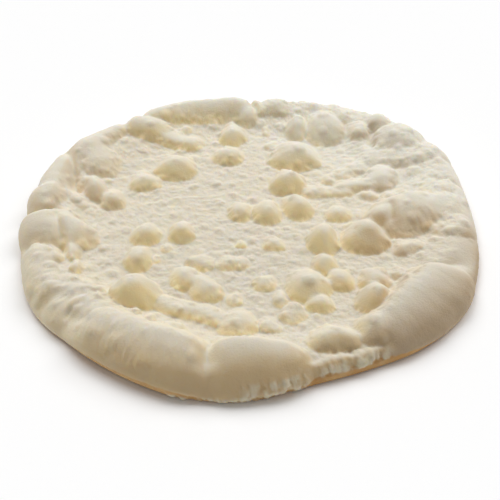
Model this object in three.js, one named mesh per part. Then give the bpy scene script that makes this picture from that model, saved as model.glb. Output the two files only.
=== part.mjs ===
// Par-baked pizza base: one hand-stretched disc of dough with a puffed, folded rim and a skin raised by gas bubbles.
// Millimetres, +Z up. The flat underside lies on z = 0, with the origin under the middle of the disc.
import * as THREE from "three";

const { degToRad, lerp, smoothstep } = THREE.MathUtils;

// Driving dimensions of the plain disc
const FLOOR_HEIGHT = 9; // dough inside the rim
const WIDEST_HEIGHT = 4.5; // where the side stands out furthest
const FOOT_INSET = 2; // how far the underside's edge lies inside that line
const FACE_BULGE = 1.55; // section of the rim's outer face: 1 is straight, 2 a quarter ellipse
const FOOT_BLEND = 6; // bubbles and puffs fade in over this height above the underside
const MIDDLE_Y = 2.3; // of the disc's box, as the tables below lay the disc out

// Section of a bubble, steep towards the front and running out softly towards the back
const FRONT_POWER = 1; // 0.5 is a half ellipse, 1 a parabola
const BACK_POWER = 1.3;
const BACK_STRETCH = 0.5; // how much further it reaches at the back
const FRONT_END = -0.5; // the front's section turns into the back's between these shares of its half width
const BACK_START = 0.7;
const JOIN = 3; // how sharply two bubbles that meet keep their own heights
const CREASE_POWER = 1.4; // 1 is a sharp crease, 2 a round one

// How the raised skin strays from those sections
const SPREAD = 0.5; // the outer face is pushed straight up at 0 and along its normals at 1
const SPREAD_FULL = 0.4; // reached at this share of the way from the crest to the widest line
const CREASE_END = 0.3; // creases and swell fade out from this share of that way
const WANDER = 1.2; // how far a bubble's outline strays from an ellipse
const WANDER_LENGTH = 28;
const WANDER_PHASES = [1, 4]; // along x and y
const SWELL = 1.3; // slow rise and fall of the floor
const SWELL_LENGTH = 240;
const SWELL_PHASE = 2;
const WAVES = [[6.1, 2.3], [-5.2, 2.9], [1.7, 7.3]]; // how often each wave turns along x and y in its length

// Size of the faces
const TOP_RINGS = 35;
const OVER_ROWS = 6; // from the crest to the widest line
const UNDER_ROWS = 2; // from the widest line to the foot
const SECTORS = 6; // a ring has this many more points than the ring inside it

// The rim every 15 degrees, from +X turning towards +Y:
// outer radius, crest height, crest inset, width of the inner slope
const RIM = [
  [144, 15, 14, 34],
  [148, 17, 13, 40],
  [157, 17, 15, 43],
  [161, 17, 16, 43],
  [158.5, 17, 15, 38],
  [150, 18, 11, 34],
  [141, 17, 9, 29],
  [143, 14, 9, 29],
  [143, 14, 10, 29],
  [143.5, 14.5, 12, 35],
  [149, 15, 14, 40],
  [143, 15, 14, 38],
  [142, 14, 16, 38],
  [142.5, 14, 21, 31],
  [144, 16, 27, 26],
  [139.5, 17, 26, 26],
  [139.5, 18, 23, 27],
  [141, 18, 22, 27],
  [138.5, 18, 24, 23],
  [132, 13, 14, 25],
  [133.5, 11, 12, 25],
  [140, 19, 25, 18],
  [145, 21, 30, 18],
  [144, 16, 23, 28],
];

// Bubbles: x, y, half length, half width, turn in degrees, rise
const BUBBLES = [
  [31, 74, 19, 15, 0, 11],
  [26, 44, 13, 12, 0, 11],
  [-14, 76, 11, 10, 0, 6.5],
  [-11, 100, 11, 11, 0, 8],
  [-49, 60, 15, 12, 0, 10],
  [-69, 46, 11, 9, 0, 6],
  [-100, 36, 8, 11, 15, 8],
  [-88, 27, 9, 9, 0, 7],
  [-6, 14, 9, 8, -30, 6],
  [12, 14, 10, 11, 0, 8],
  [32, 18, 10, 12, 20, 9],
  [57, 12, 9, 8, 0, 5],
  [34, 109, 8, 12, 0, 8],
  [53, 105, 15, 15, 0, 10],
  [88, 50, 13, 12, 0, 7],
  [46, -15, 10, 13, 0, 12],
  [98, -21, 10, 8, 15, 4],
  [46, -38, 9, 9, 0, 8],
  [36, -57, 15, 13, 15, 10],
  [54, -52, 9, 9, 0, 7],
  [75, -51, 12, 9, 0, 7],
  [73, -70, 11, 13, 0, 13],
  [41, -72, 9, 7, 0, 6],
  [26, -80, 9, 8, 0, 4],
  [-42, -6, 9, 9, 0, 8],
  [-30, -34, 10, 7, -20, 4],
  [-38, -50, 10, 9, 0, 7],
  [-25, -59, 10, 12, 25, 7],
  [10, -53, 8, 7, 0, 4],
  [-6, -90, 12, 11, 0, 8],
  [-64, -8, 10, 10, 0, 8],
  [-67, -32, 9, 11, 0, 8],
  [-66, -65, 16, 14, 0, 16.5],
  [-41, -95, 8, 7, 0, 5],
  [-109, -80, 12, 15, -20, 3],
  [-12, 127, 7, 10, 0, 4],
  [-1, 120, 8, 10, 0, 5],
  [18, 129, 12, 9, 0, 4],
  [92, 110, 10, 9, 0, 5],
  [103, 89, 19, 15, 0, 7],
  [77, 101, 9, 8, 0, 4],
  [66, 118, 8, 7, 0, 3],
  [47, -103, 17, 10, 12, 9],
  [71, -97, 13, 11, 25, 7],
  [72, -13, 16, 14, 0, 11],
  [73, -9, 9, 11, 0, 10],
  [81, 6, 10, 10, 0, 9.5],
];

// Long puffs of the rim and floor: the way of the crest, half width on its left and on its right, rise
const PUFFS = [
  [[[-82, -97], [-60, -107], [-38, -114]], 18, 30, 8.5],
  [[[-103, -66], [-92, -83], [-82, -93]], 18, 20, 4],
  [[[-9, -119], [4, -117], [17, -119]], 14, 24, 8],
  [[[82, -87], [92, -78], [102, -66], [112, -55]], 14, 26, 5.5],
  [[[-68, 124], [-50, 128], [-30, 130], [-12, 129]], 14, 15, 7.5],
  [[[-77, 106], [-66, 102]], 14, 11, 7.5],
  [[[-68, 99], [-42, 90]], 14, 7, 5],
  [[[-136, 24], [-130, 46], [-122, 66], [-108, 86], [-96, 104]], 13, 14, 6.5],
  [[[-134, 27], [-128, 28]], 10, 14, 7.5],
  [[[-107, 76], [-100, 65]], 16, 14, 6],
  [[[-121, 39], [-107, 20]], 4, 4, 1.6],
  [[[-127, 27], [-112, 10]], 4, 4, 1.4],
  [[[-132, 1], [-123, 2]], 12, 22, 8.5],
  [[[-112, -5], [-106, -8]], 12, 17, 9.5],
  [[[-127, -32], [-123, -50], [-116, -63]], 11, 12, 6.5],
  [[[86, 70], [104, 67]], 22, 7, 3.5],
  [[[117, 70], [128, 74]], 17, 9, 2.5],
  [[[62, 42], [80, 43]], 10, 6, 4],
  [[[106, 28], [124, 31]], 17, 6, 2.5],
  [[[96, 13], [101, 15]], 18, 25, 13],
  [[[108, 16], [117, 18]], 14, 21, 5],
  [[[124, -8], [132, -7]], 17, 7, 2.5],
  [[[-54, -70], [-36, -76], [-18, -84]], 10, 6, 4],
  [[[40, 36], [62, 37]], 9, 6, 3],
  [[[62, 56], [74, 64], [84, 74]], 9, 7, 3],
  [[[9, 124], [5, 138]], 4, 4, 3],
  [[[-88, -86], [-97, -108]], 4, 4, 2],
  [[[-74, -102], [-82, -118]], 4, 4, 1.5],
  [[[32, -122], [47, -118], [58, -115], [73, -108]], 4, 4, 2.5],
];

// Creases: the way of the bottom, half width, depth
const CREASES = [
  [[[-23, -106], [-22, -124]], 6, 4],
  [[[86, 104], [86, 88]], 3, 3],
  [[[-121, 74], [-117, 55], [-112, 38]], 3.5, 6],
  [[[-121, 4], [-117, -12], [-113, -26]], 4, 4],
  [[[124, 42], [140, 40]], 3.5, 2.5],
  [[[100, -40], [138, -38]], 6, 3],
  [[[89, 13], [90, 0]], 2.5, 1.6],
];

// The rim's outer radius, crest height, crest radius and inner radius at an angle: a closed Catmull-Rom curve
function rimAt(angle) {
  const turn = angle / (2 * Math.PI);
  const place = (turn - Math.floor(turn)) * RIM.length;
  const first = Math.floor(place);
  const t = place - first;
  const station = (step) => RIM[(first + step + RIM.length) % RIM.length];
  const [before, here, next, after] = [-1, 0, 1, 2].map(station);
  const [outer, height, inset, slope] = here.map((value, i) => {
    const bend = 2 * before[i] - 5 * value + 4 * next[i] - after[i];
    const twist = 3 * value - before[i] - 3 * next[i] + after[i];
    return (2 * value + (next[i] - before[i]) * t + bend * t ** 2 + twist * t ** 3) / 2;
  });
  return { outer, height, crest: outer - inset, inner: outer - inset - slope };
}

// Height of the plain disc's upper side at a distance from the middle
function upperHeight(radius, rim) {
  if (radius <= rim.crest) return lerp(FLOOR_HEIGHT, rim.height, smoothstep(radius, rim.inner, rim.crest));
  const out = Math.min(1, (radius - rim.crest) / (rim.outer - rim.crest));
  return WIDEST_HEIGHT + (rim.height - WIDEST_HEIGHT) * (1 - out ** FACE_BULGE) ** (1 / FACE_BULGE);
}

function pointAt(radius, angle, height) {
  return new THREE.Vector3(radius * Math.cos(angle), radius * Math.sin(angle), height);
}

// A point of the side, from the crest down over the widest line to the foot
function sidePoint(row, angle) {
  const rim = rimAt(angle);
  if (row <= OVER_ROWS) {
    const lean = ((row / OVER_ROWS) * Math.PI) / 2;
    const out = row < OVER_ROWS ? Math.sin(lean) ** (2 / FACE_BULGE) : 1;
    const radius = lerp(rim.crest, rim.outer, out);
    return pointAt(radius, angle, upperHeight(radius, rim));
  }
  const tuck = (((row - OVER_ROWS) / UNDER_ROWS) * Math.PI) / 2;
  return pointAt(rim.outer - FOOT_INSET * (1 - Math.cos(tuck)), angle, WIDEST_HEIGHT * (1 - Math.sin(tuck)));
}

// The plain disc. Ring n of its top has 6n points, so its faces are alike from the middle to the rim.
function plainDisc() {
  const points = [];
  const faces = [];
  const rings = [];
  const addRing = (count, place) => {
    const first = points.length;
    for (let i = 0; i < count; i++) points.push(place((i / count) * 2 * Math.PI));
    rings.push((i) => first + (i % count));
  };
  addRing(1, () => pointAt(0, 0, FLOOR_HEIGHT));
  for (let n = 1; n <= TOP_RINGS; n++) {
    addRing(SECTORS * n, (angle) => {
      const rim = rimAt(angle);
      const radius = (rim.crest * n) / TOP_RINGS;
      return pointAt(radius, angle, upperHeight(radius, rim));
    });
    const [inside, outside] = rings.slice(-2);
    for (let sector = 0; sector < SECTORS; sector++) {
      for (let i = 0; i < n; i++) {
        const o = sector * n + i;
        const c = sector * (n - 1) + i;
        faces.push([outside(o), outside(o + 1), inside(c)]);
        if (i < n - 1) faces.push([outside(o + 1), inside(c + 1), inside(c)]);
      }
    }
  }
  const edge = SECTORS * TOP_RINGS;
  for (let row = 1; row <= OVER_ROWS + UNDER_ROWS; row++) {
    addRing(edge, (angle) => sidePoint(row, angle));
    const [above, below] = rings.slice(-2);
    for (let i = 0; i < edge; i++) {
      faces.push([above(i), below(i), below(i + 1)], [above(i), below(i + 1), above(i + 1)]);
    }
  }
  const foot = rings.at(-1);
  addRing(1, () => pointAt(0, 0, 0));
  const middle = rings.at(-1);
  for (let i = 0; i < edge; i++) faces.push([foot(i + 1), foot(i), middle(0)]);

  const geometry = new THREE.BufferGeometry().setFromPoints(points);
  geometry.setIndex(faces.flat());
  geometry.computeVertexNormals();
  return geometry;
}

// Slow waves over the disc, laid across each other, from -1 to 1
function waves(point, length, phase) {
  const heights = WAVES.map(([alongX, alongY], i) => {
    return Math.sin((alongX * point.x + alongY * point.y) / length + (i + 1) * phase);
  });
  return heights.reduce((sum, height) => sum + height) / WAVES.length;
}

// Rise of a dome at a share of its half width; behind is 0 on its steep side and 1 on its soft one
function domeAt(share, behind) {
  return Math.max(1 - share ** 2, 0) ** lerp(FRONT_POWER, BACK_POWER, behind);
}

// Distance from a way of straight stretches, and the side: 1 on its left, -1 on its right
function beside(point, way) {
  let nearest = { distance: Infinity, side: 0 };
  const flat = new THREE.Vector2(point.x, point.y);
  for (let i = 1; i < way.length; i++) {
    const start = new THREE.Vector2(...way[i - 1]);
    const run = new THREE.Vector2(...way[i]).sub(start);
    const share = THREE.MathUtils.clamp(flat.clone().sub(start).dot(run) / run.lengthSq(), 0, 1);
    const away = flat.clone().sub(start).addScaledVector(run, -share);
    const distance = away.length();
    if (distance < nearest.distance) {
      nearest = { distance, side: distance > 0 ? run.cross(away) / (run.length() * distance) : 0 };
    }
  }
  return nearest;
}

function bubbleRise([x, y, length, width, turn, rise], point) {
  const centre = new THREE.Vector3(x, y, upperHeight(Math.hypot(x, y), rimAt(Math.atan2(y, x))));
  const away = point.clone().sub(centre).applyAxisAngle(new THREE.Vector3(0, 0, 1), -degToRad(turn));
  const behind = smoothstep(away.y / width, FRONT_END, BACK_START);
  const across = away.y / (width * (1 + BACK_STRETCH * behind));
  const share = Math.hypot(away.x / length, across, away.z / Math.min(length, width));
  return rise * domeAt(share, behind);
}

function puffRise([way, left, right, rise], point) {
  const { distance, side } = beside(point, way);
  const behind = (1 + side) / 2;
  return rise * domeAt(distance / lerp(right, left, behind), behind);
}

function creaseDepth([way, width, depth], point) {
  return depth * Math.exp(-((beside(point, way).distance / width) ** CREASE_POWER));
}

// Height of the skin over a point of the plain disc; edge fades creases and swell out down the outer face
function skinHeight(point, edge) {
  const [driftX, driftY] = WANDER_PHASES.map((phase) => waves(point, WANDER_LENGTH, phase));
  const strayed = point.clone().addScaledVector(new THREE.Vector3(driftX, driftY, 0), WANDER);
  const bubble = BUBBLES.reduce((sum, row) => sum + bubbleRise(row, strayed) ** JOIN, 0);
  const puff = PUFFS.reduce((sum, row) => sum + puffRise(row, strayed) ** JOIN, 0);
  const crease = CREASES.reduce((sum, row) => sum + creaseDepth(row, strayed), 0);
  return (bubble + puff) ** (1 / JOIN) + edge * (SWELL * waves(point, SWELL_LENGTH, SWELL_PHASE) - crease);
}

// Raises the skin out of the plain disc: straight up as far as the crest, and outwards too on the outer face
function raiseSkin(geometry) {
  const { position, normal } = geometry.attributes;
  const point = new THREE.Vector3();
  const outward = new THREE.Vector3();
  const way = new THREE.Vector3();
  for (let i = 0; i < position.count; i++) {
    point.fromBufferAttribute(position, i);
    const { crest, outer } = rimAt(Math.atan2(point.y, point.x));
    const out = (Math.hypot(point.x, point.y) - crest) / (outer - crest);
    outward.fromBufferAttribute(normal, i);
    way.set(0, 0, 1).lerp(outward, SPREAD * smoothstep(out, 0, SPREAD_FULL));
    const height = skinHeight(point, 1 - smoothstep(out, CREASE_END, 1));
    point.addScaledVector(way, smoothstep(point.z, 0, FOOT_BLEND) * height);
    position.setXYZ(i, point.x, point.y, point.z);
  }
  geometry.translate(0, -MIDDLE_Y, 0);
  geometry.computeVertexNormals();
  return geometry;
}

const dough = new THREE.MeshStandardMaterial({ color: 0xded5c2, roughness: 0.85, metalness: 0 });
const pizzaBase = new THREE.Mesh(raiseSkin(plainDisc()), dough);
pizzaBase.name = "pizza_base";

const part = new THREE.Group();
part.add(pizzaBase);

export default part;
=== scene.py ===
import math

import bpy
import numpy as np
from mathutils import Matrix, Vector


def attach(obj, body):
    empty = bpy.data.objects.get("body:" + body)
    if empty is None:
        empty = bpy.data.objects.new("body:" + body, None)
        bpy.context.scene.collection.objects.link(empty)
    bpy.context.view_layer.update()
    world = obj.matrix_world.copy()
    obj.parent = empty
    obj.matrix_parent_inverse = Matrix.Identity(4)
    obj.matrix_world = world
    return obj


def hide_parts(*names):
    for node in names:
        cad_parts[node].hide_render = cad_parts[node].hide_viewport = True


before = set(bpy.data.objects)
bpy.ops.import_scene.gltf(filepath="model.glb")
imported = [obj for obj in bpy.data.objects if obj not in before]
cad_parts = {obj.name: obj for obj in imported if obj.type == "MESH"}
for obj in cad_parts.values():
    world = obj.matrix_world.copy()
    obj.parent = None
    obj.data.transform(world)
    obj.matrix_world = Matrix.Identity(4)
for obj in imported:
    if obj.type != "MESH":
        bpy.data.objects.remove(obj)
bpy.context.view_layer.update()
mm = 0.001  # the dough's tables are in millimetres, Blender is in metres
fullTurn = 2 * math.pi
print("frame loaded")


class Wire:
    # wraps a socket of a node tree: sums on wires add Math nodes to that tree

    def __init__(self, socket):
        self.socket = socket

    @staticmethod
    def pick(sockets, name):
        if isinstance(name, int):
            return [s for s in sockets if s.enabled][name]
        return next(s for s in sockets if s.enabled and s.name == name)

    # any other node: its type, its settings and then what goes into its sockets
    @staticmethod
    def node(tree, kind, settings=None, inputs=None):
        made = tree.nodes.new(kind)
        for name, value in (settings or {}).items():
            setattr(made, name, value)
        for name, value in (inputs or {}).items():
            socket = Wire.pick(made.inputs, name)
            if isinstance(value, Wire):
                tree.links.new(value.socket, socket)
            else:
                socket.default_value = value
        return Wire(Wire.pick(made.outputs, 0)) if made.outputs else made

    # another output of the same node
    def out(self, name):
        return Wire(Wire.pick(self.socket.node.outputs, name))

    def maths(self, operation, *values):
        tree = self.socket.id_data
        return Wire.node(tree, "ShaderNodeMath", {"operation": operation}, dict(enumerate(values)))

    def __add__(self, other):
        return self.maths("ADD", self, other)

    def __radd__(self, other):
        return self.maths("ADD", other, self)

    def __sub__(self, other):
        return self.maths("SUBTRACT", self, other)

    def __rsub__(self, other):
        return self.maths("SUBTRACT", other, self)

    def __mul__(self, other):
        return self.maths("MULTIPLY", self, other)

    def __rmul__(self, other):
        return self.maths("MULTIPLY", other, self)

    def __truediv__(self, other):
        return self.maths("DIVIDE", self, other)

    def __rtruediv__(self, other):
        return self.maths("DIVIDE", other, self)

    def __pow__(self, other):
        return self.maths("POWER", self, other)

    def __rpow__(self, other):
        return self.maths("POWER", other, self)

    def __abs__(self):
        return self.maths("ABSOLUTE", self)


# 0 below low, 1 above high and smooth between, as a node
def ramp(wire, low, high):
    tree = wire.socket.id_data
    values = {"Value": wire, "From Min": low, "From Max": high}
    return Wire.node(tree, "ShaderNodeMapRange", {"interpolation_type": "SMOOTHSTEP"}, values)


# the same on plain numbers, straight or smooth between
def straight(value, low, high):
    return np.clip((value - low) / (high - low), 0, 1)


def smooth(value, low, high):
    share = straight(value, low, high)
    return share * share * (3 - 2 * share)


base = {
    "floorHeight": 9.0,  # dough inside the rim
    "widestHeight": 4.5,  # where the side stands out furthest
    "footInset": 2.0,  # how far the underside's edge lies inside that line
    "faceBulge": 1.55,  # 1 is a straight outer face, 2 a round one, above that it is squarer
    "footBlend": 6.0,  # bubbles and puffs fade out over this height above the underside
    "middleY": 2.3,  # of the disc's box, as the tables below lay the disc out
    "frontPower": 1.0,  # of a bubble's section towards the front: 0.5 is a half ellipse, 1 a parabola
    "backPower": 1.3,  # and towards the back, where it runs out softly
    "backStretch": 0.5,  # how much further it reaches there
    "backTurn": (-0.5, 0.7),  # shares of its half width where the front's section turns into the back's
    "join": 3.0,  # how sharply two bubbles that meet keep their own heights
    "creasePower": 1.4,  # 1 is a sharp crease, 2 a round one
    "creaseFade": (0.3, 1.0),  # shares of the way from the crest to the side where creases and swell end
    "spread": 0.5,  # how far the outer face is pushed out, 0 is straight up and 1 along its normals
    "spreadTurn": (0.0, 0.4),  # shares of the way from the crest to the side where that begins
    "waves": [(6.1, 2.3), (-5.2, 2.9), (1.7, 7.3)],  # how often each wave turns along x and y in its length
    "swell": (1.3, 240.0, 2),  # slow rise and fall of the floor: height, length of the waves, phase
    # how far a bubble's outline strays from an ellipse, length of the waves, phases along x and y
    "strays": [(1.2, 28.0, (1, 4)), (0.45, 11.0, (3, 6))],
    "topRings": 150,
    "sectors": 6,  # a ring has this many more points than the ring inside it
    "overRows": 16,  # from the crest to the widest line
    "underRows": 6,  # from the widest line to the foot
    "undersideRows": 4,
    # every 15 degrees from +X turning towards +Y:
    # outer radius, crest height, crest inset, width of the inner slope
    "rim": [
        (144, 15, 14, 34), (148, 17, 13, 40), (157, 17, 15, 43), (161, 17, 16, 43),
        (158.5, 17, 15, 38), (150, 18, 11, 34), (141, 17, 9, 29), (143, 14, 9, 29),
        (143, 14, 10, 29), (143.5, 14.5, 12, 35), (149, 15, 14, 40), (143, 15, 14, 38),
        (142, 14, 16, 38), (142.5, 14, 21, 31), (144, 16, 27, 26), (139.5, 17, 26, 26),
        (139.5, 18, 23, 27), (141, 18, 22, 27), (138.5, 18, 24, 23), (132, 13, 14, 25),
        (133.5, 11, 12, 25), (140, 19, 25, 18), (145, 21, 30, 18), (144, 16, 23, 28),
    ],
    # x, y, half length, half width, turn in degrees, rise
    "bubbles": [
        (31, 74, 19, 15, 0, 11), (26, 44, 13, 12, 0, 11), (-14, 76, 11, 10, 0, 6.5),
        (-11, 100, 11, 11, 0, 8), (-49, 60, 15, 12, 0, 10), (-69, 46, 11, 9, 0, 6),
        (-100, 36, 8, 11, 15, 8), (-88, 27, 9, 9, 0, 7), (-6, 14, 9, 8, -30, 6),
        (12, 14, 10, 11, 0, 8), (32, 18, 10, 12, 20, 9), (57, 12, 9, 8, 0, 5),
        (53, 50, 6, 6, 0, 3), (34, 109, 8, 12, 0, 8), (53, 105, 15, 15, 0, 10),
        (88, 50, 13, 12, 0, 7), (79, 33, 6, 6, 0, 2.5), (92, 33, 7, 6, 0, 2.5),
        (46, -15, 10, 13, 0, 12), (98, -21, 10, 8, 15, 4), (46, -38, 9, 9, 0, 8),
        (36, -57, 15, 13, 15, 10), (54, -52, 9, 9, 0, 7), (75, -51, 12, 9, 0, 7),
        (73, -70, 11, 13, 0, 13), (41, -72, 9, 7, 0, 6), (26, -80, 9, 8, 0, 4),
        (88, -45, 6, 6, 0, 3), (92, -57, 6, 6, 0, 3), (-42, -6, 9, 9, 0, 8),
        (-5, -16, 4, 4, 0, 3), (15, -17, 8, 6, 0, 4), (-30, -34, 10, 7, -20, 4),
        (-10, -35, 11, 6, 0, 4), (-38, -50, 10, 9, 0, 7), (-25, -59, 10, 12, 25, 7),
        (10, -53, 8, 7, 0, 4), (-8, -67, 6, 6, 0, 3), (18, -68, 6, 6, 0, 3),
        (-6, -90, 12, 11, 0, 8), (12, -90, 8, 6, 0, 3), (-64, -8, 10, 10, 0, 8),
        (-67, -32, 9, 11, 0, 8), (-66, -65, 16, 14, 0, 16.5), (-41, -95, 8, 7, 0, 5),
        (-50, -20, 4, 4, 0, 2), (-57, -30, 4, 4, 0, 2), (-45, 103, 6, 6, 0, 3),
        (12, 107, 4, 4, 0, 2), (17, 90, 6, 6, 0, 2), (-64, -81, 4, 4, 0, 2),
        (-55, -86, 4, 4, 0, 2), (-107, -27, 6, 10, 15, 5), (-103, -43, 5, 7, 0, 4),
        (-98, -76, 6, 4.5, 0, 4.5), (-95, -84, 6, 4.5, 0, 4), (-86, -84, 5, 4, 0, 3),
        (-88, -66, 6, 4, 0, 3), (-109, -80, 12, 15, -20, 3), (-116, -31, 6, 7, 0, 4),
        (-12, 127, 7, 10, 0, 4), (-1, 120, 8, 10, 0, 5), (18, 129, 12, 9, 0, 4),
        (92, 110, 10, 9, 0, 5), (103, 89, 19, 15, 0, 7), (116, 95, 8, 6, 0, 3),
        (77, 101, 9, 8, 0, 4), (66, 118, 8, 7, 0, 3), (47, -103, 17, 10, 12, 9),
        (71, -97, 13, 11, 25, 7), (72, -13, 16, 14, 0, 11), (73, -9, 9, 11, 0, 10),
        (81, 6, 10, 10, 0, 9.5),
    ],
    # long puffs: the way of the crest, half width on its left and on its right, rise
    "puffs": [
        ([(-82, -97), (-60, -107), (-38, -114)], 18, 30, 8.5),
        ([(-103, -66), (-92, -83), (-82, -93)], 18, 20, 4),
        ([(-9, -119), (4, -117), (17, -119)], 14, 24, 8),
        ([(82, -87), (92, -78), (102, -66), (112, -55)], 14, 26, 5.5),
        ([(-68, 124), (-50, 128), (-30, 130), (-12, 129)], 14, 15, 7.5),
        ([(-77, 106), (-66, 102)], 14, 11, 7.5),
        ([(-68, 99), (-42, 90)], 14, 7, 5),
        ([(-136, 24), (-130, 46), (-122, 66), (-108, 86), (-96, 104)], 13, 14, 6.5),
        ([(-134, 27), (-128, 28)], 10, 14, 7.5),
        ([(-107, 76), (-100, 65)], 16, 14, 6),
        ([(-121, 39), (-107, 20)], 4, 4, 1.6),
        ([(-127, 27), (-112, 10)], 4, 4, 1.4),
        ([(-132, 1), (-123, 2)], 12, 22, 8.5),
        ([(-112, -5), (-106, -8)], 12, 17, 9.5),
        ([(-127, -32), (-123, -50), (-116, -63)], 11, 12, 6.5),
        ([(86, 70), (104, 67)], 22, 7, 3.5),
        ([(117, 70), (128, 74)], 17, 9, 2.5),
        ([(62, 42), (80, 43)], 10, 6, 4),
        ([(106, 28), (124, 31)], 17, 6, 2.5),
        ([(96, 13), (101, 15)], 18, 25, 13),
        ([(108, 16), (117, 18)], 14, 21, 5),
        ([(124, -8), (132, -7)], 17, 7, 2.5),
        ([(-54, -70), (-36, -76), (-18, -84)], 10, 6, 4),
        ([(40, 36), (62, 37)], 9, 6, 3),
        ([(62, 56), (74, 64), (84, 74)], 9, 7, 3),
        ([(9, 124), (5, 138)], 4, 4, 3),
        ([(-88, -86), (-97, -108)], 4, 4, 2),
        ([(-112, -70), (-106, -86), (-99, -98)], 4, 4, 2.2),
        ([(-74, -102), (-82, -118)], 4, 4, 1.5),
        ([(32, -122), (47, -118), (58, -115), (73, -108)], 4, 4, 2.5),
    ],
    # creases: the way of the bottom, half width, depth
    "creases": [
        ([(-23, -106), (-22, -124)], 6, 4),
        ([(86, 104), (86, 88)], 3, 3),
        ([(-121, 74), (-117, 55), (-112, 38)], 3.5, 6),
        ([(-121, 4), (-117, -12), (-113, -26)], 4, 4),
        ([(124, 42), (140, 40)], 3.5, 2.5),
        ([(100, -40), (138, -38)], 6, 3),
        ([(103, 3), (109, -9)], 1.1, 0.4),
        ([(107, 5), (114, -7)], 1.1, 0.4),
        ([(111, 6), (118, -5)], 1.1, 0.4),
        ([(115, 8), (122, -3)], 1.1, 0.4),
        ([(89, 13), (90, 0)], 2.5, 1.6),
    ],
    # torn edge at the foot: from and to in degrees, lowest and highest point
    "tears": [(252, 270, 0, 5), (268, 284, 0, 13), (287, 306, 6, 12)],
    "tearEnd": (-3, 3),  # degrees over which a tear fades at its ends
    "tearFoot": (-2, 1),  # heights over which it fades at its lowest point
    "tearTop": (-2, 2),  # and at its highest
}


# outer radius, crest height, crest radius and inner radius at each angle: a closed Catmull-Rom curve
def rimAt(angle):
    stations = np.array(base["rim"], float)
    count = len(stations)
    place = (angle / fullTurn % 1) * count
    first = np.floor(place).astype(int)
    t = (place - first)[:, None]
    p0, p1, p2, p3 = (stations[(first + step) % count] for step in (-1, 0, 1, 2))
    curve = 2 * p1 + (p2 - p0) * t
    curve += (2 * p0 - 5 * p1 + 4 * p2 - p3) * t**2
    curve += (3 * p1 - p0 - 3 * p2 + p3) * t**3
    outer, height, inset, slope = (curve / 2).T
    return outer, height, outer - inset, outer - inset - slope


# height of the plain disc's upper side
def upperHeight(radius, angle):
    outer, height, crest, inner = rimAt(angle)
    floor, widest, bulge = base["floorHeight"], base["widestHeight"], base["faceBulge"]
    within = floor + (height - floor) * smooth(radius, inner, crest)
    out = straight(radius, crest, outer)
    beyond = widest + (height - widest) * (1 - out**bulge) ** (1 / bulge)
    return np.where(radius <= crest, within, beyond)


# one ring of the side, from the crest down over the widest line to the foot
def sideRing(row, angle):
    outer, height, crest, inner = rimAt(angle)
    widest = base["widestHeight"]
    if row <= base["overRows"]:
        lean = row / base["overRows"] * math.pi / 2
        share = 2 / base["faceBulge"]
        radius = crest + (outer - crest) * math.sin(lean) ** share
        return radius, widest + (height - widest) * math.cos(lean) ** share
    tuck = (row - base["overRows"]) / base["underRows"] * math.pi / 2
    radius = outer - base["footInset"] * (1 - math.cos(tuck))
    return radius, np.full(len(angle), widest * (1 - math.sin(tuck)))


# the plain disc: the rings of its top grow evenly, so its faces are alike from the middle to the rim
def plainDisc():
    rings, sectors = base["topRings"], base["sectors"]
    points = [np.array([[0, 0, base["floorHeight"]]])]
    faces = []
    starts = [0]

    def addRing(radius, angle, height):
        starts.append(starts[-1] + len(points[-1]))
        points.append(np.column_stack([radius * np.cos(angle), radius * np.sin(angle), height]))

    for n in range(1, rings + 1):
        count, before = sectors * n, max(1, sectors * (n - 1))
        here = np.arange(count)
        angle = here / count * fullTurn
        radius = rimAt(angle)[2] * n / rings
        addRing(radius, angle, upperHeight(radius, angle))
        inner, outer = starts[-2:]
        sector, step = here // n, here % n
        behind = sector * (n - 1) + step  # the point of the ring inside that this one leans on
        ahead = outer + (here + 1) % count
        faces.append(np.column_stack([outer + here, ahead, inner + behind % before]))
        fan = np.column_stack([ahead, inner + (behind + 1) % before, inner + behind % before])
        faces.append(fan[step < n - 1])

    here = np.arange(sectors * rings)
    ahead = (here + 1) % len(here)
    angle = here / len(here) * fullTurn

    def joinRing():
        above, below = starts[-2:]
        faces.append(np.column_stack([above + here, below + here, below + ahead]))
        faces.append(np.column_stack([above + here, below + ahead, above + ahead]))

    for row in range(1, base["overRows"] + base["underRows"] + 1):
        foot, height = sideRing(row, angle)
        addRing(foot, angle, height)
        joinRing()
    for row in range(1, base["undersideRows"] + 1):
        addRing(foot * (1 - row / (base["undersideRows"] + 1)), angle, np.zeros(len(here)))
        joinRing()
    last = starts[-1]
    addRing(np.zeros(1), np.zeros(1), np.zeros(1))
    faces.append(np.column_stack([last + ahead, last + here, np.full(len(here), starts[-1])]))
    return np.concatenate(points), np.concatenate(faces)


def vertexNormals(points, faces):
    a, b, c = (points[faces[:, k]] for k in range(3))
    across = np.cross(b - a, c - a)
    total = np.zeros_like(points)
    for k in range(3):
        for axis in range(3):
            total[:, axis] += np.bincount(faces[:, k], across[:, axis], len(points))
    return total / np.linalg.norm(total, axis=1, keepdims=True)


# slow waves over the disc, a few laid across each other
def waves(points, length, phase):
    x, y = points[:, 0] / length, points[:, 1] / length
    total = np.zeros(len(points))
    for n, (alongX, alongY) in enumerate(base["waves"], 1):
        total += np.sin(alongX * x + alongY * y + n * phase)
    return total / len(base["waves"])


# the points moved sideways a little, so that no bubble's outline is a true ellipse
def strayFrom(points):
    strayed = points.copy()
    for reach, length, phases in base["strays"]:
        for axis, phase in enumerate(phases):
            strayed[:, axis] += reach * waves(points, length, phase)
    return strayed


# rise of a dome at a share of its half width: behind is 0 on its steep front and 1 on its soft back
def domeAt(share, behind):
    power = base["frontPower"] + (base["backPower"] - base["frontPower"]) * behind
    return np.maximum(1 - share**2, 0) ** power


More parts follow.
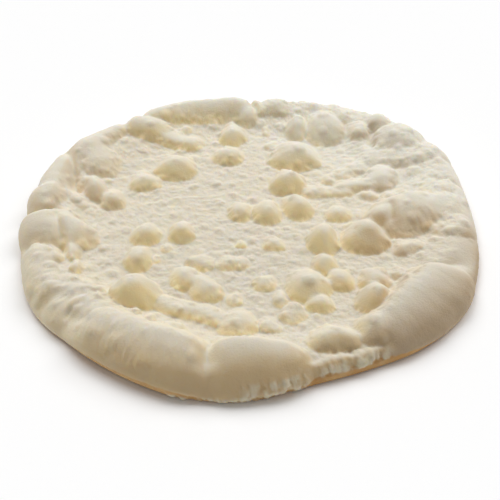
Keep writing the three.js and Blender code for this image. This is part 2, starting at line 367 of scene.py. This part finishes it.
# distance from a way of straight stretches, and the side: 1 on its left, -1 on its right
def beside(points, way):
    nearest = np.full(len(points), np.inf)
    side = np.zeros(len(points))
    for start, stop in zip(way, way[1:]):
        run = np.subtract(stop, start)
        away = points[:, :2] - start
        share = np.clip(away @ run / (run @ run), 0, 1)
        away = away - share[:, None] * run
        distance = np.linalg.norm(away, axis=1) + 1e-6  # never 0, as the next line but one divides by it
        nearer = distance < nearest
        turn = (run[0] * away[:, 1] - run[1] * away[:, 0]) / (np.linalg.norm(run) * distance)
        side = np.where(nearer, turn, side)
        nearest = np.minimum(nearest, distance)
    return nearest, side


# the rises of bubbles and puffs are summed as powers, so that the higher of two that meet wins
def bubbleRise(points):
    total = np.zeros(len(points))
    for x, y, length, width, turn, rise in base["bubbles"]:
        z = upperHeight(np.array([math.hypot(x, y)]), np.array([math.atan2(y, x)]))[0]
        away = points - (x, y, z)
        c, s = math.cos(math.radians(turn)), math.sin(math.radians(turn))
        along = (c * away[:, 0] + s * away[:, 1]) / length
        across = (c * away[:, 1] - s * away[:, 0]) / width
        behind = smooth(across, *base["backTurn"])
        across = across / (1 + base["backStretch"] * behind)
        share = np.sqrt(along**2 + across**2 + (away[:, 2] / min(length, width)) ** 2)
        total += (rise * domeAt(share, behind)) ** base["join"]
    return total


def puffRise(points):
    total = np.zeros(len(points))
    for way, left, right, rise in base["puffs"]:
        distance, side = beside(points, way)
        width = (left * (1 + side) + right * (1 - side)) / 2
        total += (rise * domeAt(distance / width, (1 + side) / 2)) ** base["join"]
    return total


def creaseDepth(points):
    total = np.zeros(len(points))
    for way, width, depth in base["creases"]:
        distance, side = beside(points, way)
        total += depth * np.exp(-((distance / width) ** base["creasePower"]))
    return total


def tearShare(points):
    angle = np.degrees(np.arctan2(points[:, 1], points[:, 0])) % 360
    height = points[:, 2]
    total = np.zeros(len(points))
    for first, last, low, high in base["tears"]:
        turn = smooth(angle - first, *base["tearEnd"]) * (1 - smooth(angle - last, *base["tearEnd"]))
        tall = smooth(height - low, *base["tearFoot"]) * (1 - smooth(height - high, *base["tearTop"]))
        total += turn * tall
    return np.minimum(total, 1)


# the disc with its bubbles, puffs, creases and swell, and what its tints need to know of it
def shapeDough():
    plain, faces = plainDisc()
    normals = vertexNormals(plain, faces)
    radius = np.hypot(plain[:, 0], plain[:, 1])
    outer, height, crest, inner = rimAt(np.arctan2(plain[:, 1], plain[:, 0]))
    beyond = (radius - crest) / (outer - crest)
    strayed = strayFrom(plain)
    bubble, puff = bubbleRise(strayed), puffRise(strayed)
    rise = (bubble + puff) ** (1 / base["join"])
    swell, length, phase = base["swell"]
    slow = swell * waves(plain, length, phase)
    edge = 1 - smooth(beyond, *base["creaseFade"])
    lift = rise - edge * creaseDepth(strayed) + edge * slow
    lift = smooth(plain[:, 2], 0, base["footBlend"]) * lift
    spread = base["spread"] * smooth(beyond, *base["spreadTurn"])[:, None]
    way = (0, 0, 1) + spread * (normals - (0, 0, 1))
    shaped = plain + way * lift[:, None]
    print("dough shaped with", len(base["bubbles"]), "bubbles and", len(base["puffs"]), "puffs")
    return {"plain": plain, "faces": faces, "shaped": shaped, "facing": vertexNormals(shaped, faces),
            "radius": radius, "outer": outer, "crest": crest, "bubble": bubble, "puff": puff, "rise": rise}


# where tints and relief lie: a share grows from 0 to 1 between the two values of a zone
zones = {
    "top": (5, 9),  # height of the plain disc
    "outside": (-8, 3),  # past the crest
    "outsideFront": (-20, 40),  # towards the front
    "leftWay": (-1, -0.5),  # towards the rough stretch of the rim
    "left": (60, 130),  # along that way
    "leftFront": (10, 55),  # and towards the front
    "paleWay": (0.6, 0.8),  # towards the back right, where the skin is tinted paler
    "pale": (60, 105),  # along that way
    "dim": (-30, 50),  # towards the front, where flour is darker
    "shade": (50, 90),  # towards the right, where painted shade darkens the bare dough and the outer face
    "greyLeft": (60, 110),  # towards the left, where it is greyer
    "greyBack": (-40, 0),  # and towards the back
    "skinEdge": (-2, 10),  # past the crest, where rough skin ends
    "skinEdgeLoss": 0.85,
    "skinReach": 20,  # how much further it goes on the left stretch
    "skinBubble": (4, 80),  # rise of a bubble to the power of join, where the skin is stretched smooth
    "skinBubbleLoss": 0.6,
    "skinFlankLoss": 0.35,  # more on its flanks
    "skinPuff": (8, 120),  # the same for puffs, but not on the left stretch
    "skinPuffLoss": 0.88,
    "pleatEdge": (-14, 0),  # past the crest, where the rim is pleated
    "pleatHeight": (1, 5),
    "pleatShare": 0.6,
    "pleatLeftLoss": 0.3,
    "flankUp": (0.68, 0.99),  # upward part of the normal: a flank is bare below and floured above
    "flankFront": (-0.5, 0.7),  # how far a flank faces the front, where it takes more of the bare tint as painted shade
    "flankLeast": 0.3,  # share that is left bare where it faces the back; the extra bareness towards the front is painted shade
    "flankOutsideLoss": 0.5,
    "flankPaleLoss": 0.6,
    "faceUp": (0.66, 0.98),  # upward part of the normal on the outer face, whose steeper parts take the tint of a browner crust with painted shade
    "faceWay": (0.5, -0.87),  # the side where the outer face's painted shade is deepest
    "faceTurn": (-0.1, 0.6),  # how far it faces that way
    "faceLeast": 0.15,
    "faceLeft": (-125, -70),  # from the left, where its painted shade is lighter
    "faceLeftLeast": 0.45,
    "capRise": (1, 4),  # rise of a bubble whose top is floured, and lighter in part as a painted highlight
    "capUp": (0.8, 0.97),
    "toast": (1.5, 3.5),  # height where the browned foot ends
    # where it is higher: by how much, on which side, from and to sideways, from and to towards the front
    "bands": [(5, 1, (10, 50), (85, 115)), (5.5, -1, (20, 45), (92, 106))],
    "underside": 0.9,  # of the outer radius
    "lumpLeft": (60, 90),  # towards the left and the front, where the rim is lumpy
    "lumpFront": (35, 65),
    "lumpEdge": (14, 26),  # past the crest, where the lumps end
    "floorLumps": 0.3,  # share of them on the floor
    "floorEdge": (-12, 0),  # past the crest, where the floor ends
    "leastTilt": 0.05,  # what is more level than this hardly faces any side
}


def inside(value, zone):
    return smooth(value, *zones[zone])


# a share that starts from a least one
def atLeast(least, share):
    return zones[least] + (1 - zones[least]) * share


def lumpShare(x, y, beyond, raised):
    floor = zones["floorLumps"] * (1 - inside(beyond, "floorEdge")) * (1 - inside(raised, "skinBubble"))
    rim = inside(-x, "lumpLeft") * inside(-y, "lumpFront") * (1 - inside(beyond, "lumpEdge"))
    return np.maximum(floor, rim)


def doughShares(shape):
    x, y, z = shape["plain"].T
    facing, bubble, puff, radius = (shape[name] for name in ("facing", "bubble", "puff", "radius"))
    beyond = radius - shape["crest"]
    up = facing[:, 2]
    level = facing[:, :2] / np.maximum(np.hypot(facing[:, 0], facing[:, 1]), zones["leastTilt"])[:, None]
    top = inside(z, "top")
    outside = inside(beyond, "outside") * inside(-y, "outsideFront")
    left = inside(shape["plain"][:, :2] @ zones["leftWay"], "left") * inside(-y, "leftFront")
    pale = inside(shape["plain"][:, :2] @ zones["paleWay"], "pale")

    steep = 1 - straight(up, *zones["flankUp"])
    # a flank shows bare dough, and more of it where it faces the front: painted shade
    flank = steep * atLeast("flankLeast", inside(-level[:, 1], "flankFront"))
    # the outer face is darker where steep and where it faces front right: painted shade, with a browner
    # crust
    shadeFacing = inside(level @ zones["faceWay"], "faceTurn")
    face = (1 - straight(up, *zones["faceUp"])) * atLeast("faceLeast", shadeFacing)
    stretched = zones["skinBubbleLoss"] + zones["skinFlankLoss"] * steep
    rough = top * (1 - zones["skinEdgeLoss"] * inside(beyond - zones["skinReach"] * left, "skinEdge"))
    rough = rough * (1 - inside(bubble, "skinBubble") * stretched)
    rough = rough * (1 - zones["skinPuffLoss"] * (1 - left) * inside(puff, "skinPuff"))
    pleated = inside(beyond, "pleatEdge") * inside(z, "pleatHeight")
    band = np.zeros(len(x))
    for height, side, across, ahead in zones["bands"]:
        band += height * smooth(side * x, *across) * smooth(-y, *ahead)
    return {
        "skin": rough,
        "lumps": top * lumpShare(x, y, beyond, bubble + puff),
        "rim": pleated * (zones["pleatShare"] - zones["pleatLeftLoss"] * left),
        "tear": tearShare(shape["shaped"]) * (beyond > 0) * (z > 0),
        "flank": flank * (1 - zones["flankOutsideLoss"] * outside) * (1 - zones["flankPaleLoss"] * pale),
        "face": face * outside * atLeast("faceLeftLeast", inside(x, "faceLeft")),
        "capFlourAndHighlight": inside(shape["rise"], "capRise") * inside(up, "capUp") * (1 - outside),
        "pale": pale,
        "dim": inside(-y, "dim"),
        "shade": inside(x, "shade"),
        "grey": inside(-x, "greyLeft") * inside(y, "greyBack"),
        "toast": 1 - inside(shape["shaped"][:, 2] - band, "toast"),
        "under": (z == 0) & (radius < zones["underside"] * shape["outer"]),
    }


def makeMesh(name, points, faces, shares):
    mesh = bpy.data.meshes.new(name)
    mesh.from_pydata((points * mm).tolist(), [], faces.tolist())
    mesh.shade_smooth()
    for label, values in shares.items():
        mesh.attributes.new(label, "FLOAT", "POINT").data.foreach_set("value", values.astype(np.float32))
    return mesh


def makeDough():
    shape = shapeDough()
    shares = doughShares(shape)
    print("dough has", len(shares), "shares for its tints and relief")
    return makeMesh("dough", shape["shaped"] - (0, base["middleY"], 0), shape["faces"], shares)


skin = {
    "blisterSpacing": 11.0,
    "blisterSmallest": 1.2,
    "blisterLargest": 4.6,
    "blisterHeight": 0.28,  # of its radius
    "pimpleSpacing": 3.9,
    "pimpleSmallest": 0.5,
    "pimpleLargest": 1.9,
    "pimpleHeight": 0.25,
    "densest": 90000.0,  # blisters or pimples on a square metre, before their spacing thins them
    "edge": 1.5,  # how far either has sunk at its radius: 0 is not at all
    "cobbleSize": 7.5,
    "cobbleDepth": 1.8,
    "lumpSize": 10.0,
    "lumpDepth": 5.5,
    "crinkleSize": 3.4,
    "crinkleDepth": 1.2,
    "crinkleLevel": 0.25,  # crinkle that leaves the skin where it is
    "crinkleLeast": 0.15,  # share of it on smooth skin
    "pleatWidth": 9.0,
    "pleatLength": 26.0,
    "pleatDepth": 1.6,
    "pleatRadius": 140.0,  # of the rim that they stand around
    "flakeWidth": 4.5,
    "flakeHeight": 7.0,
    "flakeDepth": 2.0,
    "flakeFrom": 0.3,  # noise where a flake of the torn edge begins
    "flakeTo": 0.7,
    "flakeLevel": 0.35,  # flake that leaves the skin where it is
    "seed": 11,
}
noiseMiddle = 0.5  # as noise runs from 0 to 1


def startTree(name, inputs):
    tree = bpy.data.node_groups.new(name, "GeometryNodeTree")
    tree.interface.new_socket("Geometry", in_out="INPUT", socket_type="NodeSocketGeometry")
    tree.interface.new_socket("Geometry", in_out="OUTPUT", socket_type="NodeSocketGeometry")
    for label, value in inputs.items():
        kind = "NodeSocketInt" if isinstance(value, int) else "NodeSocketFloat"
        tree.interface.new_socket(label, in_out="INPUT", socket_type=kind)
    return tree, Wire.node(tree, "NodeGroupInput")


# lifts what was pushed below the underside back to its level and closes the tree
def endTree(tree, geometry, material):
    lowest = (-1, -1, 0)  # far past the dough's left and front, and level with its underside
    above = vectorMaths(tree, "MAXIMUM", Wire.node(tree, "GeometryNodeInputPosition"), lowest)
    geometry = Wire.node(tree, "GeometryNodeSetPosition", None, {"Geometry": geometry, "Position": above})
    geometry = Wire.node(tree, "GeometryNodeRealizeInstances", None, {"Geometry": geometry})
    geometry = Wire.node(tree, "GeometryNodeSetMaterial", None, {
        "Geometry": geometry, "Material": material})
    Wire.node(tree, "NodeGroupOutput", None, {"Geometry": geometry})


# runs a tree on an object with the values of its dictionary and leaves a plain mesh
def applyTree(piece, tree, values):
    modifier = piece.modifiers.new(tree.name, "NODES")
    modifier.node_group = tree
    for item in tree.interface.items_tree:
        if item.in_out == "INPUT" and item.name in values:
            modifier[item.identifier] = values[item.name]
    depsgraph = bpy.context.evaluated_depsgraph_get()
    result = bpy.data.meshes.new_from_object(piece.evaluated_get(depsgraph), depsgraph=depsgraph)
    piece.modifiers.remove(modifier)
    piece.data = result
    result.shade_smooth()
    print(piece.name, "has", len(result.polygons), "faces")


def vectorMaths(tree, operation, first, second):
    return Wire.node(tree, "ShaderNodeVectorMath", {"operation": operation}, {0: first, 1: second})


def scaled(tree, vector, scale):
    values = {"Vector": vector, "Scale": scale}
    return Wire.node(tree, "ShaderNodeVectorMath", {"operation": "SCALE"}, values)


def noiseOf(tree, where, scale, detail, roughness):
    return Wire.node(tree, "ShaderNodeTexNoise", None, {
        "Vector": where, "Scale": scale, "Detail": detail, "Roughness": roughness})


def shareOf(tree, label):
    return Wire.node(tree, "GeometryNodeInputNamedAttribute", {"data_type": "FLOAT"}, {"Name": label})


def keepShare(tree, geometry, label, value):
    return Wire.node(tree, "GeometryNodeStoreNamedAttribute", {"data_type": "FLOAT", "domain": "POINT"}, {
        "Geometry": geometry, "Name": label, "Value": value})


# moves the skin along its normals by a height in millimetres
def push(tree, geometry, height):
    offset = scaled(tree, Wire.node(tree, "GeometryNodeInputNormal"), height * mm)
    return Wire.node(tree, "GeometryNodeSetPosition", None, {"Geometry": geometry, "Offset": offset})


# scatters small round bubbles and raises the skin over each
def raiseBubbles(tree, geometry, place, name):
    spacing, smallest, largest = (place.out(name + size) for size in ("Spacing", "Smallest", "Largest"))
    seed = place.out("seed")
    spots = Wire.node(tree, "GeometryNodeDistributePointsOnFaces", {"distribute_method": "POISSON"}, {
        "Mesh": geometry, "Distance Min": spacing * mm, "Density Max": place.out("densest"),
        "Density Factor": shareOf(tree, "skin"), "Seed": seed})
    where = Wire.node(tree, "GeometryNodeInputPosition")
    nearest = Wire.node(tree, "GeometryNodeSampleNearest", None, {
        "Geometry": spots, "Sample Position": where})
    size = Wire.node(tree, "FunctionNodeRandomValue", {"data_type": "FLOAT"}, {
        "Min": smallest, "Max": largest, "Seed": seed})
    radius = Wire.node(tree, "GeometryNodeSampleIndex", {"data_type": "FLOAT"}, {
        "Geometry": spots, "Value": size, "Index": nearest})
    centre = Wire.node(tree, "GeometryNodeSampleIndex", {"data_type": "FLOAT_VECTOR"}, {
        "Geometry": spots, "Value": where, "Index": nearest})
    share = vectorMaths(tree, "DISTANCE", where, centre) / (radius * mm)
    dome = share.maths("EXPONENT", 0 - share**4 * place.out("edge"))  # flat on top, steep near its radius
    return push(tree, geometry, dome * radius * place.out(name + "Height"))


# noise of one size all over: the shift tells two of them apart
def noiseAt(tree, size, detail, shift=0.0):
    where = Wire.node(tree, "GeometryNodeInputPosition")
    moved = vectorMaths(tree, "ADD", where, (shift * mm, shift * mm, shift * mm))
    return noiseOf(tree, moved, 1 / (size * mm), detail, roughness=0.55)


# noise of one size around the rim, drawn out to another along the radius or up the face
def pleatNoise(tree, place, around, along, upwards=False):
    where = Wire.node(tree, "GeometryNodeInputPosition")
    flat = vectorMaths(tree, "MULTIPLY", where, (1, 1, 0))
    height = Wire.node(tree, "ShaderNodeSeparateXYZ", None, {"Vector": where}).out("Z")
    radius = Wire.node(tree, "ShaderNodeVectorMath", {"operation": "LENGTH"}, {0: flat}).out("Value")
    way = Wire.node(tree, "ShaderNodeVectorMath", {"operation": "NORMALIZE"}, {0: flat})
    ring = scaled(tree, way, place.out("pleatRadius") / around)
    reach = height if upwards else radius
    run = Wire.node(tree, "ShaderNodeCombineXYZ", None, {"Z": reach / (along * mm)})
    return noiseOf(tree, vectorMaths(tree, "ADD", ring, run), 1.0, detail=3.0, roughness=0.6)


def skinTree(material):
    tree, place = startTree("floured skin", skin)
    geometry = place.out("Geometry")
    rough, torn = shareOf(tree, "skin"), shareOf(tree, "tear")
    geometry = raiseBubbles(tree, geometry, place, "blister")
    geometry = raiseBubbles(tree, geometry, place, "pimple")
    cobble = noiseAt(tree, place.out("cobbleSize"), detail=1.0, shift=110.0) - noiseMiddle
    geometry = push(tree, geometry, cobble * rough * place.out("cobbleDepth"))
    lump = noiseAt(tree, place.out("lumpSize"), detail=1.5, shift=230.0) - noiseMiddle
    geometry = push(tree, geometry, lump * shareOf(tree, "lumps") * place.out("lumpDepth"))

    crinkle = abs(noiseAt(tree, place.out("crinkleSize"), detail=2.5) - noiseMiddle) / noiseMiddle
    geometry = keepShare(tree, geometry, "crinkle", crinkle)
    least = place.out("crinkleLeast")
    crinkled = (crinkle - place.out("crinkleLevel")) * (least + (1 - least) * rough)
    geometry = push(tree, geometry, crinkled * place.out("crinkleDepth"))

    pleat = pleatNoise(tree, place, place.out("pleatWidth"), place.out("pleatLength")) - noiseMiddle
    geometry = push(tree, geometry, pleat * shareOf(tree, "rim") * place.out("pleatDepth"))
    flake = pleatNoise(tree, place, place.out("flakeWidth"), place.out("flakeHeight"), upwards=True)
    flake = ramp(flake, place.out("flakeFrom"), place.out("flakeTo"))
    geometry = keepShare(tree, geometry, "ragged", flake * torn)
    geometry = push(tree, geometry, (flake - place.out("flakeLevel")) * torn * place.out("flakeDepth"))
    endTree(tree, geometry, material)
    print("skin tree built with", len(tree.nodes), "nodes")
    return tree


finish = {
    "flour": (0.715, 0.66, 0.55, 1),
    "capFlourAndHighlight": (0.735, 0.685, 0.565, 1),  # on top of bubbles: flour, lighter in part as a painted highlight
    # paler flour at the back right, also the painted highlight on crests of crinkles
    "paleFlourAndHighlight": (0.76, 0.728, 0.635, 1),
    "shadeFlour": (0.60, 0.55, 0.455, 1),
    "dipWarmShade": (0.80, 0.70, 0.48, 1),  # in the dips of the crinkles: painted warm shade, warmer and yellower than flour
    # bare dough on flanks, brighter and yellower than flour: painted glow of light through the thin skin
    "bareDoughGlow": (0.885, 0.745, 0.455, 1),
    # bare dough at the right, darkened with painted shade
    "shadedBareDough": (0.70, 0.54, 0.33, 1),
    "greyDough": (0.76, 0.64, 0.46, 1),
    # outer face: a browner crust darkened with painted shade, deeper still at the right
    "sideCrustAndShade": (0.61, 0.47, 0.28, 1),
    "shadeDough": (0.48, 0.37, 0.245, 1),
    "toasted": (0.53, 0.30, 0.115, 1),
    "paleToast": (0.60, 0.38, 0.17, 1),
    "underside": (0.76, 0.62, 0.40, 1),
    "crumb": (0.66, 0.59, 0.44, 1),  # on the torn flakes
    "dipCrinkle": (0.0, 0.16),  # crinkle where a dip ends
    "dipShare": 0.45,
    "crestCrinkle": (0.15, 0.45),  # and where a crest's painted highlight begins
    "crestShare": 0.7,
    "dimShare": 0.4,
    "patchSize": 14.0,  # of the uneven flour
    "speckSize": 1.1,
    "bareShare": 0.5,  # of a flank's bareness, and what patches and specks add to it
    "barePatch": 0.6,
    "bareSpeck": 0.4,
    "sideShare": 0.8,  # the same on the outer face
    "sidePatch": 0.5,
    "toastSize": 5.0,  # of the browned band's ragged edge
    "toastRagged": 0.9,
    "toastEdge": (0.35, 0.9),
    "spotSize": 22.0,  # of the pale spots in it
    "spotEdge": (0.4, 0.65),
    "tornShare": 0.15,
    "crumbEdge": (0.1, 0.8),
    "bumpStrength": 0.6,
    "bumpDepth": 0.5,
    "roughness": 0.95,
    "bareGloss": 0.2,  # how much less rough bare dough is
    "specular": 0.25,
    "softColour": (1.0, 0.75, 0.45),  # how far each colour of light goes into the dough
    "softDepth": 1.6,
}


def mixColour(tree, share, first, second):
    values = {"Factor": share, "A": first, "B": second}
    return Wire.node(tree, "ShaderNodeMix", {"data_type": "RGBA"}, values)


def startMaterial(name):
    material = bpy.data.materials.new(name)
    material.use_nodes = True
    material.node_tree.nodes.clear()
    tree = material.node_tree
    where = Wire.node(tree, "ShaderNodeTexCoord").out("Object")
    return material, tree, scaled(tree, where, 1 / mm)


def grainOf(tree, where, size):
    return noiseOf(tree, where, 1 / size, detail=3.0, roughness=0.6)


def surfaceShare(tree, label):
    return Wire.node(tree, "ShaderNodeAttribute", {"attribute_name": label}).out("Fac")


# flour: lighter on bubble tops, in part a painted highlight; paler at the back right; painted highlights on
# the crests of crinkles and painted warm shade in their dips; darker towards the front
def flourColour(tree):
    crinkle = surfaceShare(tree, "crinkle")
    # dips of crinkles take painted warm shade and their crests a painted highlight
    dipWarmShade = (1 - ramp(crinkle, *finish["dipCrinkle"])) * surfaceShare(tree, "skin") * finish["dipShare"]
    crest = ramp(crinkle, *finish["crestCrinkle"]) * finish["crestShare"]
    colour = mixColour(tree, surfaceShare(tree, "capFlourAndHighlight"), finish["flour"], finish["capFlourAndHighlight"])
    colour = mixColour(tree, surfaceShare(tree, "pale"), colour, finish["paleFlourAndHighlight"])
    colour = mixColour(tree, dipWarmShade, colour, finish["dipWarmShade"])
    colour = mixColour(tree, crest, colour, finish["paleFlourAndHighlight"])
    return mixColour(tree, surfaceShare(tree, "dim") * finish["dimShare"], colour, finish["shadeFlour"])


# bare dough on the flanks, brighter than flour as painted glow: browner at the right with painted shade,
# and greyer at the back left
def bareColour(tree, shade):
    colour = mixColour(tree, shade, finish["bareDoughGlow"], finish["shadedBareDough"])
    return mixColour(tree, surfaceShare(tree, "grey"), colour, finish["greyDough"])


# browned foot, and the underside with brown spots
def bakedColour(tree, where):
    spots = ramp(grainOf(tree, where, finish["spotSize"]), *finish["spotEdge"])
    foot = mixColour(tree, spots, finish["toasted"], finish["paleToast"])
    beneath = mixColour(tree, spots, finish["paleToast"], finish["underside"])
    return mixColour(tree, surfaceShare(tree, "under"), foot, beneath)


def doughMaterial():
    material, tree, where = startMaterial("floured dough")
    shade = surfaceShare(tree, "shade")
    patch = grainOf(tree, where, finish["patchSize"])
    speck = grainOf(tree, where, finish["speckSize"])
    bare = finish["bareShare"] + patch * finish["barePatch"] + speck * finish["bareSpeck"]
    bare = surfaceShare(tree, "flank") * bare
    side = surfaceShare(tree, "face") * (finish["sideShare"] + patch * finish["sidePatch"])
    ragged = (grainOf(tree, where, finish["toastSize"]) - noiseMiddle) * finish["toastRagged"]
    browned = ramp(surfaceShare(tree, "toast") + ragged, *finish["toastEdge"])
    torn = surfaceShare(tree, "tear") * finish["tornShare"]

    colour = mixColour(tree, bare, flourColour(tree), bareColour(tree, shade))
    # the outer face's tint: browner crust with painted shade, deeper at the right
    faceCrustAndShade = mixColour(tree, shade, finish["sideCrustAndShade"], finish["shadeDough"])
    colour = mixColour(tree, side, colour, faceCrustAndShade)
    colour = mixColour(tree, browned, colour, bakedColour(tree, where))
    colour = mixColour(tree, torn, colour, finish["toasted"])
    crumb = ramp(surfaceShare(tree, "ragged"), *finish["crumbEdge"])
    colour = mixColour(tree, crumb, colour, finish["crumb"])
    bump = Wire.node(tree, "ShaderNodeBump", None, {
        "Strength": finish["bumpStrength"], "Distance": finish["bumpDepth"] * mm, "Height": speck})
    shader = Wire.node(tree, "ShaderNodeBsdfPrincipled", None, {
        "Base Color": colour, "Roughness": finish["roughness"] - bare * finish["bareGloss"], "Normal": bump,
        "Subsurface Weight": 1.0, "Subsurface Radius": finish["softColour"],
        "Subsurface Scale": finish["softDepth"] * mm, "Specular IOR Level": finish["specular"]})
    Wire.node(tree, "ShaderNodeOutputMaterial", None, {"Surface": shader})
    print("material", material.name, "built with", len(tree.nodes), "nodes")
    return material


def addPiece(name, mesh):
    piece = bpy.data.objects.new(name, mesh)
    bpy.context.scene.collection.objects.link(piece)
    return piece


dough = addPiece("dough", makeDough())
applyTree(dough, skinTree(doughMaterial()), skin)

studio = {
    "floorSize": 6.0,  # lengths here are in metres, but for lens and sensor
    "floorGap": 0.00005,  # under the dough
    "floorColour": (0.99, 0.99, 0.99, 1),
    "floorRoughness": 0.9,
    "skyColour": (1, 1, 1, 1),
    "skyStrength": 0.3,
    # degrees left of straight behind, degrees above the floor, degrees across, share of the floor's light
    "windows": [(30, 58, 45, 0.42), (-50, 50, 40, 0.28)],
    "eyeHeight": 40.0,  # degrees above the floor
    "eyeDistance": 0.680,
    "lens": 78.04,
    "sensor": 36.0,
    "nearest": 0.01,  # the camera sees nothing closer
    "aim": (0.0009, -0.0128, 0.0),
}


def addFloor():
    half = studio["floorSize"] / 2
    mesh = bpy.data.meshes.new("floor")
    corners = [(-half, -half, 0), (half, -half, 0), (half, half, 0), (-half, half, 0)]
    mesh.from_pydata(corners, [], [(0, 1, 2, 3)])
    floor = addPiece("floor", mesh)
    floor.location.z = -studio["floorGap"]
    material = bpy.data.materials.new("studio floor")
    material.use_nodes = True
    shader = material.node_tree.nodes["Principled BSDF"]
    shader.inputs["Base Color"].default_value = studio["floorColour"]
    shader.inputs["Roughness"].default_value = studio["floorRoughness"]
    mesh.materials.append(material)


def addLights():
    scene = bpy.context.scene
    scene.view_settings.view_transform = "Standard"
    scene.world = bpy.data.worlds.new("studio")
    scene.world.use_nodes = True
    sky = scene.world.node_tree.nodes["Background"]
    sky.inputs["Color"].default_value = studio["skyColour"]
    sky.inputs["Strength"].default_value = studio["skyStrength"]
    for turn, height, spread, share in studio["windows"]:
        turn, height = math.radians(turn), math.radians(height)
        lamp = bpy.data.lights.new("window", "SUN")
        lamp.energy = share * math.pi / math.sin(height)
        lamp.angle = math.radians(spread)
        sun = bpy.data.objects.new("window", lamp)
        flat = math.cos(height)
        towards = Vector((-math.sin(turn) * flat, math.cos(turn) * flat, math.sin(height)))
        sun.rotation_euler = towards.to_track_quat("Z", "Y").to_euler()
        scene.collection.objects.link(sun)


def addCamera():
    scene = bpy.context.scene
    lens = bpy.data.cameras.new("camera")
    lens.lens = studio["lens"]
    lens.sensor_width = studio["sensor"]
    lens.clip_start = studio["nearest"]
    camera = bpy.data.objects.new("camera", lens)
    height = math.radians(studio["eyeHeight"])
    back = Vector((0, -math.cos(height), math.sin(height)))
    camera.location = Vector(studio["aim"]) + back * studio["eyeDistance"]
    camera.rotation_euler = back.to_track_quat("Z", "Y").to_euler()
    scene.collection.objects.link(camera)
    scene.camera = camera


addFloor()
addLights()
addCamera()
print("floor, lights and camera are in place")

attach(dough, "root")
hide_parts("pizza_base")
